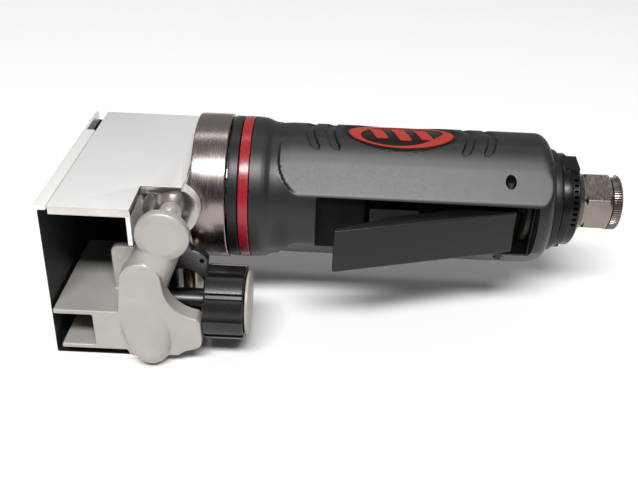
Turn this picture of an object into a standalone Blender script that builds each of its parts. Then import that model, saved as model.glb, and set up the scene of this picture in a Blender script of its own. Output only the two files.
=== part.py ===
"""Pneumatic die grinder with an edge-grinding head, as separate parts.

The shape is worked out in millimetres in the tool's own frame: X runs along the
motor axis from the head to the air inlet, Y points to the back and Z up, with the
motor axis at y = z = 0. place() moves that frame so that the underside of the head
is at z = 0 and the object's box is centred over the origin.
"""

from math import cos, pi, radians, sin, sqrt

import bmesh
import bpy
from mathutils import Vector

# Placement of the tool's frame in the world, millimetres
BOX_CENTRE_X = 68.2
BOX_CENTRE_Y = -12.25
BASE_Z = -39.2

GAP = 0.3
FINE, MEDIUM, COARSE = 40, 28, 18

# Head: a cast frame closed by a bent sheet cover
HEAD_FRONT, HEAD_BACK = -41.3, 23.2
HEAD_TOP = 13.7
PLATE_THICK = 2.6
PLATE_LEFT, PLATE_RIGHT = -13.4, 21.0
WALL_LEFT, WALL_RIGHT = 7.9, 9.1
COVER_TOP_X, COVER_BOTTOM_X = -17.4, -18.8
SHEET = 1.3
FLOOR_TOP = -37.6
NOTCH_Y = -27.7
LIP_END_Y = 8.3
HUB_RADIUS, HUB_BORE = 17.0, 9.6

# Guide rod and its boss, parallel to Y
ROD_X, ROD_Z = 17.2, 5.5
ROD_RADIUS = 3.3
BOSS_RADIUS = 8.2

# Guide casting
GUIDE_FRONT = -42.8
SLAB_BACK = -37.4
GUIDE_BACK = -4.4
UPPER_TOP, LOWER_TOP = -20.4, -33.1
UPPER_THICK, LOWER_THICK = 1.5, 1.4
GUIDE_LEFT, PLATES_RIGHT = -16.2, 5.2
FOOT_TOP_Y, FOOT_FRONT = -43.15, -49.0
ARCH_X, ARCH_Z, ARCH_RADIUS = 10.2, -9.4, 6.0

# Clamp knob, axis parallel to X
KNOB_Y, KNOB_Z = -32.8, -22.1
KNOB_RADIUS = 11.3
KNOB_LEFT, KNOB_RIGHT = 27.6, 40.6
STUD_RADIUS = 3.7

# Motor
COLLAR_RADIUS = 23.0
COLLAR_LEFT, COLLAR_RIGHT = 21.6, 32.1
CASE_RADIUS = 17.2
ROTOR_RADIUS = 11.0
ROTOR_LEFT, ROTOR_RIGHT = 40.2, 67.6
LINER_OFFSET = 1.2
VANES = 4

# Grip housing
GRIP_FRONT, GRIP_REAR = 39.2, 131.4
GRIP_RADIUS = 21.4
SLOT_LEFT, SLOT_RIGHT = 59.2, 126.0
SLOT_BOTTOM, SLOT_TOP = -11.4, 8.1
MOTOR_BORE_END = 72.9

# Throttle
PIN_X, PIN_Y = 117.3, -14.6
LEVER_TIP_X, LEVER_TIP_Y = 64.8, -34.0
LEVER_BOTTOM, LEVER_TOP = -9.1, 5.1
BUTTON_X, BUTTON_Z = 83.1, -1.8
PAD_HEIGHT = 3.0

# Inlet end
EXHAUST_LEFT, EXHAUST_RIGHT = 134.6, 140.4
EXHAUST_RADIUS = 15.2
HEX_LEFT, HEX_RIGHT = 142.8, 152.0
HEX_FLATS = 17.0
END_RADIUS = 8.8
END_X = 155.2


def clear_scene():
    for obj in list(bpy.data.objects):
        bpy.data.objects.remove(obj, do_unlink=True)


def place(point):
    """World position in metres of a point of the tool's frame in millimetres."""
    x, y, z = point
    return Vector((x - BOX_CENTRE_X, y - BOX_CENTRE_Y, z - BASE_Z)) / 1000


def material(name, colour, roughness, metallic):
    made = bpy.data.materials.new(name)
    made.use_nodes = True
    shader = made.node_tree.nodes["Principled BSDF"]
    shader.inputs["Base Color"].default_value = (*colour, 1)
    shader.inputs["Roughness"].default_value = roughness
    shader.inputs["Metallic"].default_value = metallic
    return made


def mesh_object(name, bm, pivot=(0, 0, 0)):
    """An object made of bm, whose origin is at pivot."""
    bmesh.ops.recalc_face_normals(bm, faces=bm.faces)
    centre = place(pivot)
    for vert in bm.verts:
        vert.co = place(vert.co) - centre
    mesh = bpy.data.meshes.new(name)
    bm.to_mesh(mesh)
    bm.free()
    mesh.shade_smooth()
    mesh.set_sharp_from_angle(angle=radians(35))
    obj = bpy.data.objects.new(name, mesh)
    obj.location = centre
    bpy.context.scene.collection.objects.link(obj)
    return obj


def prism(name, outline, axis, low, high, pivot=(0, 0, 0)):
    """An outline in the plane across an axis, extruded along it from low to high."""
    order = {"X": (2, 0, 1), "Y": (0, 2, 1), "Z": (0, 1, 2)}[axis]
    bm = bmesh.new()
    rings = []
    for level in (low, high):
        ring = []
        for point in outline:
            own = (point[0], point[1], level)
            ring.append(bm.verts.new([own[i] for i in order]))
        rings.append(ring)
    bm.faces.new(rings[0])
    bm.faces.new(rings[1])
    for i in range(len(outline)):
        j = (i + 1) % len(outline)
        bm.faces.new((rings[0][i], rings[0][j], rings[1][j], rings[1][i]))
    return mesh_object(name, bm, pivot)


def box(name, low, high, pivot=(0, 0, 0)):
    corners = ((low[0], low[1]), (high[0], low[1]), (high[0], high[1]), (low[0], high[1]))
    return prism(name, corners, "Z", low[2], high[2], pivot)


def turned(name, profile, axis="X", centre=(0, 0, 0), segments=MEDIUM, pivot=None):
    """A profile of (distance along the axis, radius) turned round the axis.

    A profile that starts and ends on the axis makes a solid; any other is closed
    into a ring. Distances are measured from centre.
    """
    bm = bmesh.new()
    solid = profile[0][1] == 0 and profile[-1][1] == 0
    rings = []
    for along, radius in profile:
        ring = []
        for i in range(segments if radius else 1):
            angle = 2 * pi * i / segments
            a, b = radius * cos(angle), radius * sin(angle)
            own = {"X": (along, a, b), "Y": (b, along, a), "Z": (a, b, along)}[axis]
            ring.append(bm.verts.new(Vector(own) + Vector(centre)))
        rings.append(ring)
    pairs = list(zip(rings, rings[1:]))
    if not solid:
        pairs.append((rings[-1], rings[0]))
    for first, second in pairs:
        for i in range(segments):
            j = (i + 1) % segments
            corners = []
            for vert in (first[i % len(first)], first[j % len(first)],
                         second[j % len(second)], second[i % len(second)]):
                if vert not in corners:
                    corners.append(vert)
            bm.faces.new(corners)
    return mesh_object(name, bm, centre if pivot is None else pivot)


def rod(name, axis, centre, radius, low, high, segments=COARSE):
    """A plain cylinder; low and high are positions along the axis."""
    middle = [0 if "XYZ"[i] == axis else centre[i] for i in range(3)]
    return turned(name, [(low, 0), (low, radius), (high, radius), (high, 0)], axis, middle, segments)


def ring(name, low, high, outer, inner, axis="X", centre=(0, 0, 0), segments=FINE, chamfer=0.0):
    """A tube with an optional chamfer on its outer edges."""
    profile = [(low, inner), (low, outer - chamfer)]
    if chamfer:
        profile += [(low + chamfer, outer), (high - chamfer, outer)]
    profile += [(high, outer - chamfer), (high, inner)]
    if not chamfer:
        profile = [(low, inner), (low, outer), (high, outer), (high, inner)]
    return turned(name, profile, axis, centre, segments)


def cone(name, start, start_radius, end, end_radius, segments=COARSE):
    """A tapered solid between two points."""
    start, end = Vector(start), Vector(end)
    turn = Vector((0, 0, 1)).rotation_difference((end - start).normalized()).to_matrix()
    bm = bmesh.new()
    rings = []
    for point, radius in ((start, start_radius), (end, end_radius)):
        ring_verts = []
        for i in range(segments):
            angle = 2 * pi * i / segments
            spoke = Vector((radius * cos(angle), radius * sin(angle), 0))
            ring_verts.append(bm.verts.new(point + turn @ spoke))
        rings.append(ring_verts)
    bm.faces.new(rings[0])
    bm.faces.new(rings[1])
    for i in range(segments):
        j = (i + 1) % segments
        bm.faces.new((rings[0][i], rings[0][j], rings[1][j], rings[1][i]))
    return mesh_object(name, bm)


def combine(obj, other, operation):
    """Applies one exact Boolean to obj and removes the other object."""
    modifier = obj.modifiers.new("combine", "BOOLEAN")
    modifier.operation = operation
    modifier.solver = "EXACT"
    modifier.object = other
    bpy.context.view_layer.update()
    graph = bpy.context.evaluated_depsgraph_get()
    mesh = bpy.data.meshes.new_from_object(obj.evaluated_get(graph))
    obj.modifiers.clear()
    old = obj.data
    obj.data = mesh
    bpy.data.meshes.remove(old)
    bpy.data.objects.remove(other, do_unlink=True)


def cut(obj, *cutters):
    for cutter in cutters:
        combine(obj, cutter, "DIFFERENCE")


def join(obj, *others):
    for other in others:
        combine(obj, other, "UNION")


def paint(obj, colour, roughness=0.4, metallic=0.0):
    """Gives the finished object its own material and edge shading."""
    obj.data.materials.clear()
    obj.data.materials.append(material(obj.name + "_finish", colour, roughness, metallic))
    obj.data.shade_smooth()
    obj.data.set_sharp_from_angle(angle=radians(35))
    return obj


def arc(cx, cy, radius, start, end, steps):
    """Points of an arc from start to end, in degrees."""
    points = []
    for i in range(steps + 1):
        angle = radians(start + (end - start) * i / steps)
        points.append((cx + radius * cos(angle), cy + radius * sin(angle)))
    return points


# ---------------------------------------------------------------- head

def cover_x(z):
    """The outer face of the cover's side wall, which leans out towards the bottom."""
    share = (HEAD_TOP - z) / (HEAD_TOP - BASE_Z)
    return COVER_TOP_X + share * (COVER_BOTTOM_X - COVER_TOP_X)


def head_frame():
    under = HEAD_TOP - PLATE_THICK
    frame = box("head_frame", (PLATE_LEFT, HEAD_FRONT, under), (PLATE_RIGHT, HEAD_BACK, HEAD_TOP))
    join(frame, box("wall", (WALL_LEFT, HEAD_FRONT, 2.2),
                    (WALL_RIGHT, HEAD_BACK - SHEET - GAP, HEAD_TOP - 0.5)))
    join(frame, box("rear_wall", (WALL_LEFT, -2.0, FLOOR_TOP + GAP),
                    (WALL_RIGHT, HEAD_BACK - SHEET - GAP, 0)))
    hub = rod("hub", "X", (0, 0, 0), HUB_RADIUS, WALL_LEFT + 0.4, 21.3, MEDIUM)
    cut(hub, box("hub_top", (0, -30, HEAD_TOP - 1.2), (30, 30, 30)))
    join(frame, hub)
    boss = rod("boss", "Y", (ROD_X, 0, ROD_Z), BOSS_RADIUS, NOTCH_Y, -5.0, MEDIUM)
    cut(boss, box("collar_room", (21.3, -23.4, -20), (40, 10, 30)))
    join(frame, boss)
    join(frame, box("lug", (-9.0, 15.4, 4.5), (1.0, HEAD_BACK - SHEET - GAP, HEAD_TOP - 0.5)))
    cut(frame, rod("hub_bore", "X", (0, 0, 0), HUB_BORE, 0, 30, MEDIUM))
    cut(frame, rod("rod_bore", "Y", (ROD_X, 0, ROD_Z), ROD_RADIUS + 0.4, -40, -12.0))
    cut(frame, box("notch", (WALL_RIGHT, -60, HEAD_TOP - PLATE_THICK - 3), (30, NOTCH_Y, 30)))
    for x in (-6.5, -1.5):
        cut(frame, rod("screw_hole", "Y", (x, 0, 8.0), 1.2, 16.6, 30, 12))
    return paint(frame, (0.69, 0.66, 0.62), 0.35, 1.0)


def side_cover():
    """Side wall, floor, back wall and the lip beside the top plate, bent from sheet."""
    lip_bottom = HEAD_TOP - SHEET
    wall_top = cover_x(HEAD_TOP) + SHEET
    wall_bottom = cover_x(FLOOR_TOP) + SHEET
    lip_right = PLATE_LEFT - GAP
    section = [(cover_x(HEAD_TOP), HEAD_TOP), (lip_right, HEAD_TOP), (lip_right, lip_bottom),
               (wall_top, lip_bottom), (wall_bottom, FLOOR_TOP), (WALL_RIGHT, FLOOR_TOP),
               (WALL_RIGHT, BASE_Z), (cover_x(BASE_Z), BASE_Z)]
    cover = prism("side_cover", section, "Y", HEAD_FRONT, HEAD_BACK)
    back = [(cover_x(10.8) + 0.2, 10.8), (WALL_RIGHT, 10.8), (WALL_RIGHT, BASE_Z + 0.5),
            (cover_x(BASE_Z) + 0.5, BASE_Z + 0.5)]
    join(cover, prism("back_wall", back, "Y", HEAD_BACK - SHEET, HEAD_BACK))
    cut(cover, box("lip_end", (cover_x(HEAD_TOP) + SHEET, LIP_END_Y, HEAD_TOP - 3),
                   (lip_right + 1, HEAD_BACK + 5, HEAD_TOP + 3)))
    for x in (-6.5, -1.5):
        cut(cover, rod("screw_hole", "Y", (x, 0, 8.0), 1.3, 15, 30, 12))
    return paint(cover, (0.72, 0.71, 0.69), 0.3, 1.0)


def cover_screws():
    for i, x in enumerate((-6.5, -1.5)):
        back = HEAD_BACK + GAP
        profile = [(17.2, 0), (17.2, 0.9), (back, 0.9), (back, 2.1), (back + 1.0, 1.8), (back + 1.0, 0)]
        screw = turned(f"cover_screw_{i + 1}", profile, "Y", (x, 0, 8.0), 12)
        paint(screw, (0.25, 0.25, 0.26), 0.35, 1.0)


def grinding_drum():
    arbor = turned("drum_arbor", [(-12.6, 0), (-12.6, 6.9), (5.3, 6.9), (5.3, 9.0), (6.9, 9.0),
                                  (6.9, 7.6), (20.9, 7.6), (20.9, 0)], segments=MEDIUM)
    cut(arbor, rod("shaft_bore", "X", (0, 0, 0), 5.0 + GAP, 13.6, 30))
    cut(arbor, rod("screw_bore", "X", (0, 0, 0), 2.7, -20, -3.4, 12))
    paint(arbor, (0.5, 0.5, 0.5), 0.35, 1.0)
    drum = ring("abrasive_drum", -12.5, 5.0, 10.4, 6.9 + GAP, segments=MEDIUM, chamfer=0.6)
    paint(drum, (0.05, 0.045, 0.04), 0.95)
    washer = ring("drum_washer", -13.7, -12.9, 9.0, 2.7, segments=COARSE)
    paint(washer, (0.5, 0.5, 0.5), 0.35, 1.0)
    screw = turned("drum_screw", [(-15.8, 0), (-15.8, 3.6), (-15.4, 4.0), (-14.0, 4.0), (-14.0, 2.4),
                                  (-4.0, 2.4), (-4.0, 0)], segments=COARSE)
    paint(screw, (0.08, 0.08, 0.08), 0.4, 1.0)


# ---------------------------------------------------------------- guide

def slab_outline():
    """The front face of the casting: arched top, concave flank, thumb tab and foot."""
    arch = arc(ARCH_X, ARCH_Z, ARCH_RADIUS, 180, 0, 10)
    flank = arc(27.4, -11.2, 10.9, 184, 262, 7)
    tab = arc(23.4, -27.5, 3.6, 50, -50, 5)
    return arch + flank + tab + [(23.6, -33.0), (19.6, -35.0), (5.0, -36.4), (3.2, -30.0), (2.6, -22.0)]


def foot(name):
    """The oval pad, which stands further out towards its bottom."""
    outline = []
    for i in range(24):
        angle = 2 * pi * i / 24
        z = -26.2 + 13.0 * sin(angle)
        outline.append((10.6 + 6.6 * cos(angle) + 0.12 * (-26.2 - z), z))
    bm = bmesh.new()
    back = [bm.verts.new((x, GUIDE_FRONT + 1.0, z)) for x, z in outline]
    front = []
    for x, z in outline:
        share = (-13.2 - z) / 26.0
        y = FOOT_TOP_Y - (FOOT_TOP_Y - FOOT_FRONT) * share ** 1.3
        front.append(bm.verts.new((x, y, z)))
    bm.faces.new(back)
    top = bm.verts.new((sum(v.co.x for v in front) / 24, sum(v.co.y for v in front) / 24 - 0.2, -26.2))
    for i in range(24):
        j = (i + 1) % 24
        bm.faces.new((back[i], back[j], front[j], front[i]))
        bm.faces.new((front[i], front[j], top))
    return mesh_object(name, bm)


def guide_casting():
    pivot = (ROD_X, GUIDE_FRONT, ROD_Z)
    casting = prism("guide_casting", slab_outline(), "Y", GUIDE_FRONT, SLAB_BACK, pivot)
    plates = ((GUIDE_LEFT, UPPER_TOP, UPPER_THICK), (GUIDE_LEFT + 1.0, LOWER_TOP, LOWER_THICK))
    for left, top, thick in plates:
        join(casting, box("plate", (left, GUIDE_FRONT + 0.02, top - thick), (PLATES_RIGHT, GUIDE_BACK, top)))
    join(casting, box("wall", (-5.0, GUIDE_FRONT + 0.04, LOWER_TOP - 0.7),
                      (PLATES_RIGHT - 0.1, -36.0, UPPER_TOP - 0.7)))
    join(casting, prism("rib", [(-0.8, UPPER_TOP - 0.5)] + arc(1.2, -7.2, 2.0, 180, 90, 4)
                        + [(12.0, -5.2), (12.0, UPPER_TOP - 0.5)], "Y", -31.0, -28.2))
    join(casting, cone("neck", (17.2, -36.6, 5.0), 5.9, (10.4, -36.6, -12.0), 6.1))
    join(casting, box("spine", (5.2, -38.5, -22.5), (14.6, -28.3, -9.5)))
    join(casting, box("lug", (6.0, -38.5, -27.6), (15.4, -28.4, -16.8)))
    profile = [(-42.4, 0), (-42.4, 5.2), (-41.2, 7.7), (-38.6, 7.7), (-38.2, 7.2), (-38.2, 0)]
    flange = turned("flange", profile, "Y", (ROD_X, 0, ROD_Z - 0.4), MEDIUM)
    join(casting, flange)
    join(casting, foot("foot"))
    cut(casting, rod("rod_seat", "Y", (ROD_X, 0, ROD_Z), ROD_RADIUS + GAP, -41.6, -25))
    cut(casting, rod("stud_bore", "X", (0, KNOB_Y, KNOB_Z), STUD_RADIUS + GAP, 7.0, 30))
    return paint(casting, (0.62, 0.61, 0.58), 0.38, 1.0)


def guide_fittings():
    guide_rod = turned("guide_rod", [(-41.3, 0), (-41.3, ROD_RADIUS), (-12.9, ROD_RADIUS), (-12.4, ROD_RADIUS - 0.5),
                                     (-12.4, 0)], "Y", (ROD_X, 0, ROD_Z), COARSE)
    paint(guide_rod, (0.7, 0.68, 0.66), 0.15, 1.0)
    pivot = (-10.4, -24.0, 0)
    outline = []
    for i in range(28):
        radius = 5.4 if i % 2 else 4.5
        angle = 2 * pi * i / 28
        outline.append((pivot[0] + radius * cos(angle), pivot[1] + radius * sin(angle)))
    roller = prism("guide_roller", outline, "Z", LOWER_TOP + 0.4, UPPER_TOP - UPPER_THICK - 0.4,
                   (*pivot[:2], -27))
    cut(roller, rod("roller_bore", "Z", pivot, 1.5 + GAP, -40, 0, 12))
    paint(roller, (0.02, 0.02, 0.02), 0.6)
    pin = rod("roller_pin", "Z", pivot, 1.5, LOWER_TOP + GAP, UPPER_TOP - UPPER_THICK - GAP, 12)
    paint(pin, (0.6, 0.6, 0.6), 0.3, 1.0)


def clamp_bracket():
    """An arched lug under the boss, with a window that the lock pin stands behind."""
    outer = [(12.6, -9.0), (12.6, -3.2), (20.0, -3.2)] + arc(21.8, -14.2, 6.6, 80, 30, 6)
    outline = outer + [(27.2, -14.6), (27.2, -30.0), (12.6, -30.0)]
    bracket = prism("clamp_bracket", outline, "Y", -27.7, -24.9)
    window = [(17.6, -28.0), (17.6, -14.4), (22.4, -14.4)]
    window += arc(20.2, -20.6, 6.0, 60, 10, 4) + [(26.1, -28.0)]
    cut(bracket, prism("window", window, "Y", -40, -10))
    cut(bracket, rod("sight_hole", "Y", (25.6, 0, -11.2), 0.8, -40, -10, 12))
    paint(bracket, (0.2, 0.2, 0.2), 0.35, 1.0)
    pin = rod("lock_pin", "Z", (20.6, -22.2, 0), 2.2, -29.5, -11.0)
    paint(pin, (0.55, 0.45, 0.3), 0.3, 1.0)


def knob():
    centre = (0, KNOB_Y, KNOB_Z)
    lobes = []
    for i in range(64):
        angle = 2 * pi * i / 64
        groove = max(0.0, cos(8 * angle)) ** 6
        radius = KNOB_RADIUS - 1.1 * groove
        lobes.append((KNOB_Y + radius * cos(angle), KNOB_Z + radius * sin(angle)))
    grip = prism("clamp_knob", lobes, "X", KNOB_LEFT, KNOB_RIGHT - 1.2, centre)
    cut(grip, rod("stud_seat", "X", centre, STUD_RADIUS - 0.6 + GAP, 0, KNOB_RIGHT - 4))
    paint(grip, (0.03, 0.03, 0.03), 0.4)
    cap = turned("knob_cap", [(KNOB_RIGHT - 0.9, 0), (KNOB_RIGHT - 0.9, 10.2), (KNOB_RIGHT - 0.2, 10.2),
                              (KNOB_RIGHT, 9.9), (KNOB_RIGHT, 0)], "X", centre, MEDIUM)
    paint(cap, (0.75, 0.72, 0.68), 0.35)
    stud = turned("knob_stud", [(10.4, 0), (10.4, STUD_RADIUS - 0.5), (10.9, STUD_RADIUS), (26.9, STUD_RADIUS),
                                (26.9, STUD_RADIUS - 0.6), (KNOB_RIGHT - 4.4, STUD_RADIUS - 0.6),
                                (KNOB_RIGHT - 4.4, 0)], "X", centre, COARSE)
    paint(stud, (0.02, 0.02, 0.02), 0.35)
    pad = rod("pressure_pad", "X", centre, 3.2, 8.6, 10.1)
    paint(pad, (0.7, 0.5, 0.25), 0.35, 1.0)


# ---------------------------------------------------------------- motor

def front_end():
    paint(ring("clamp_collar", COLLAR_LEFT, COLLAR_RIGHT, COLLAR_RADIUS, CASE_RADIUS + GAP, chamfer=0.7),
          (0.13, 0.11, 0.1), 0.25, 1.0)
    paint(ring("spacer_ring", 32.7, 35.6, 22.5, CASE_RADIUS + GAP, chamfer=0.4), (0.06, 0.06, 0.06), 0.5)
    paint(ring("accent_ring", 35.9, 38.9, 22.6, CASE_RADIUS + GAP, chamfer=0.3), (0.6, 0.03, 0.04), 0.3)
    paint(ring("front_housing", 21.6, 35.0, CASE_RADIUS, 11.3), (0.4, 0.4, 0.4), 0.35, 1.0)
    paint(ring("front_bearing", 24.0, 31.0, 11.0, 5.3, segments=MEDIUM), (0.6, 0.6, 0.6), 0.25, 1.0)
    front_plate = ring("front_plate", 35.3, 39.8, CASE_RADIUS - 0.4, 5.6, segments=MEDIUM)
    paint(front_plate, (0.5, 0.5, 0.5), 0.35, 1.0)


def motor():
    liner = rod("cylinder_liner", "X", (0, 0, 0), CASE_RADIUS - 0.4, 40.1, 67.7, MEDIUM)
    cut(liner, rod("liner_bore", "X", (0, LINER_OFFSET, 0), 12.7, 30, 80, MEDIUM))
    for angle in (60, 90, 120):
        turn = radians(angle)
        port = rod("port", "Z", (54, 14.6 * cos(turn), 0), 1.2, 9, 20, 8)
        cut(liner, port)
    paint(liner, (0.35, 0.35, 0.35), 0.4, 1.0)
    rotor = turned("rotor", [(14.0, 0), (14.0, 5.0), (ROTOR_LEFT, 5.0), (ROTOR_LEFT, ROTOR_RADIUS),
                             (ROTOR_RIGHT, ROTOR_RADIUS), (ROTOR_RIGHT, 3.0), (72.1, 3.0), (72.1, 0)],
                   segments=MEDIUM)
    for i in range(VANES):
        turn = 2 * pi * i / VANES
        cut(rotor, blade("vane_slot", turn, 1.0, 6.6, 14.0, ROTOR_LEFT - 1, ROTOR_RIGHT + 1))
    paint(rotor, (0.5, 0.5, 0.5), 0.3, 1.0)
    for i in range(VANES):
        turn = 2 * pi * i / VANES
        vane = blade(f"rotor_vane_{i + 1}", turn, 0.7, 6.9, 11.2, ROTOR_LEFT + 0.2, ROTOR_RIGHT - 0.2)
        paint(vane, (0.15, 0.09, 0.05), 0.6)
    plate = ring("rear_plate", 68.0, 72.5, CASE_RADIUS - 0.4, 3.8, segments=MEDIUM)
    cut(plate, rod("bearing_seat", "X", (0, 0, 0), 8.3, 69.4, 80, MEDIUM))
    paint(plate, (0.5, 0.5, 0.5), 0.35, 1.0)
    paint(ring("rear_bearing", 69.7, 72.2, 8.0, 3.3, segments=COARSE), (0.6, 0.6, 0.6), 0.25, 1.0)


def blade(name, turn, half, inner, outer, low, high):
    """A flat bar along X that stands radially at an angle round the motor axis."""
    outline = []
    for radial, side in ((inner, -half), (outer, -half), (outer, half), (inner, half)):
        outline.append((radial * cos(turn) - side * sin(turn), radial * sin(turn) + side * cos(turn)))
    return prism(name, outline, "X", low, high)


# ---------------------------------------------------------------- grip

def grip_housing():
    profile = [(GRIP_FRONT, 0), (GRIP_FRONT, 22.2), (GRIP_FRONT + 0.5, 22.6), (42.6, 22.2), (45.4, 20.9),
               (47.6, 20.9), (51.0, GRIP_RADIUS), (125.0, GRIP_RADIUS)]
    for turn in (20, 40, 60, 80):
        profile.append((125.0 + 6.4 * sin(radians(turn)), GRIP_RADIUS - 6.4 + 6.4 * cos(radians(turn))))
    profile += [(GRIP_REAR, 14.6), (GRIP_REAR, 0)]
    grip = turned("grip_housing", profile, segments=FINE)
    cut(grip, rod("motor_bore", "X", (0, 0, 0), CASE_RADIUS + 0.1, 30, MOTOR_BORE_END, FINE))
    slot_top_right = SLOT_TOP - 0.5
    outline = [(SLOT_LEFT, SLOT_BOTTOM), (SLOT_RIGHT, SLOT_BOTTOM - 1.5), (SLOT_RIGHT, slot_top_right),
               (SLOT_LEFT, SLOT_TOP)]
    cut(grip, prism("slot", outline, "Y", -40, -17.9))
    cut(grip, box("deep_slot", (MOTOR_BORE_END + 1.1, -18.2, SLOT_BOTTOM + 0.4),
                  (SLOT_RIGHT - 0.5, -5.6, slot_top_right)))
    cut(grip, rod("pin_hole", "Z", (PIN_X, PIN_Y, 0), 1.65, -14.0, 30, 16))
    cut(grip, rod("rear_bore", "X", (0, 0, 0), 8.3, 100, 140, MEDIUM))
    cut(grip, rod("muffler_seat", "X", (0, 0, 0), 14.2, 124.0, 140, MEDIUM))
    cut(grip, rod("valve_bore", "Y", (BUTTON_X, 0, BUTTON_Z), 4.2, -10, 10.0, 16))
    cut(grip, rod("air_way", "X", (0, 4.0, BUTTON_Z), 1.8, 60, 110, 12))
    badge = []
    for i in range(32):
        angle = 2 * pi * i / 32
        badge.append((84.5 + 17.4 * cos(angle), 8.2 * sin(angle)))
    cut(grip, prism("badge_seat", badge, "Z", 20.2, 30))
    return paint(grip, (0.06, 0.06, 0.063), 0.55)


def badge_plate():
    outline = []
    for i in range(32):
        angle = 2 * pi * i / 32
        outline.append((84.5 + 17.0 * cos(angle), 7.8 * sin(angle)))
    plate = prism("badge_plate", outline, "Z", 19.0, 24.0)
    cut(plate, rod("under_badge", "X", (0, 0, 0), 20.0, 50, 120, FINE))
    shell = ring("shell", 40, 130, 40, GRIP_RADIUS - 0.1)
    cut(plate, shell)
    cut(plate, box("flat", (50, -20, 10), (120, 20, 20.2 + GAP)))
    return paint(plate, (0.6, 0.06, 0.05), 0.35)


def lever_edge(x, depth=0.0):
    """Where the lever's outer face lies at x, moved inwards by depth."""
    share = (x - LEVER_TIP_X) / (120.0 - LEVER_TIP_X)
    return LEVER_TIP_Y + share * (-18.4 - LEVER_TIP_Y) + depth


def throttle_lever():
    """A channel: an outer face between two side walls, with an eye round the pin."""
    pivot = (PIN_X, PIN_Y, 0)
    side = [(LEVER_TIP_X, lever_edge(LEVER_TIP_X)), (120.0, lever_edge(120.0)), (120.6, -16.5),
            (PIN_X + 3.0, PIN_Y + 1.8), (PIN_X, PIN_Y + 3.4), (110.0, lever_edge(110, 6.0)),
            (92.0, lever_edge(92, 5.6)), (83.0, lever_edge(83, 5.5)), (74.0, lever_edge(74, 3.6)),
            (LEVER_TIP_X, lever_edge(LEVER_TIP_X, 2.0))]
    lever = prism("throttle_lever", side, "Z", LEVER_BOTTOM, LEVER_TOP, pivot)
    room = [(66.6, lever_edge(66.6, 1.9)), (108.0, lever_edge(108, 1.9)), (108.0, lever_edge(108, 20)),
            (66.6, lever_edge(66.6, 20))]
    cut(lever, prism("room", room, "Z", LEVER_BOTTOM + 1.6, LEVER_TOP - 1.6))
    pad = [(80.0, lever_edge(80, 1.0)), (86.0, lever_edge(86, 1.0)), (85.4, -17.6), (80.8, -17.6)]
    join(lever, prism("pad", pad, "Z", -5.5, -1.0))
    cut(lever, rod("eye", "Z", (PIN_X, PIN_Y, 0), 1.5 + GAP, -30, 30, 16))
    return paint(lever, (0.035, 0.035, 0.037), 0.35)


def throttle_valve():
    pin = rod("lever_pin", "Z", (PIN_X, PIN_Y, 0), 1.35, -13.7, 13.6, 16)
    paint(pin, (0.3, 0.3, 0.3), 0.35, 1.0)
    pivot = (BUTTON_X, -16.9, BUTTON_Z)
    button = box("throttle_button", (75.6, -16.9, -6.6), (90.6, -14.2, PAD_HEIGHT), pivot)
    join(button, rod("stem", "Y", (BUTTON_X, 0, BUTTON_Z), 2.2, -15.0, 1.0, 16))
    paint(button, (0.35, 0.35, 0.34), 0.45, 1.0)
    paint(helix("valve_spring", (BUTTON_X, BUTTON_Z), 2.9, 0.45, 1.6, 9.3, 5), (0.5, 0.5, 0.5), 0.3, 1.0)


def helix(name, centre, radius, wire, low, high, turns):
    """A coil spring along Y, as one closed tube."""
    steps, sides = 12 * turns, 6
    bm = bmesh.new()
    rings = []
    for i in range(steps + 1):
        angle = 2 * pi * i / 12
        along = low + wire + (high - low - 2 * wire) * i / steps
        out = Vector((cos(angle), 0, sin(angle)))
        spot = Vector((centre[0], along, centre[1])) + out * radius
        loop = []
        for k in range(sides):
            turn = 2 * pi * k / sides
            loop.append(bm.verts.new(spot + wire * (out * cos(turn) + Vector((0, 1, 0)) * sin(turn))))
        rings.append(loop)
    for first, second in zip(rings, rings[1:]):
        for k in range(sides):
            j = (k + 1) % sides
            bm.faces.new((first[k], first[j], second[j], second[k]))
    bm.faces.new(rings[0])
    bm.faces.new(rings[-1])
    return mesh_object(name, bm)


# ---------------------------------------------------------------- inlet end

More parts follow.
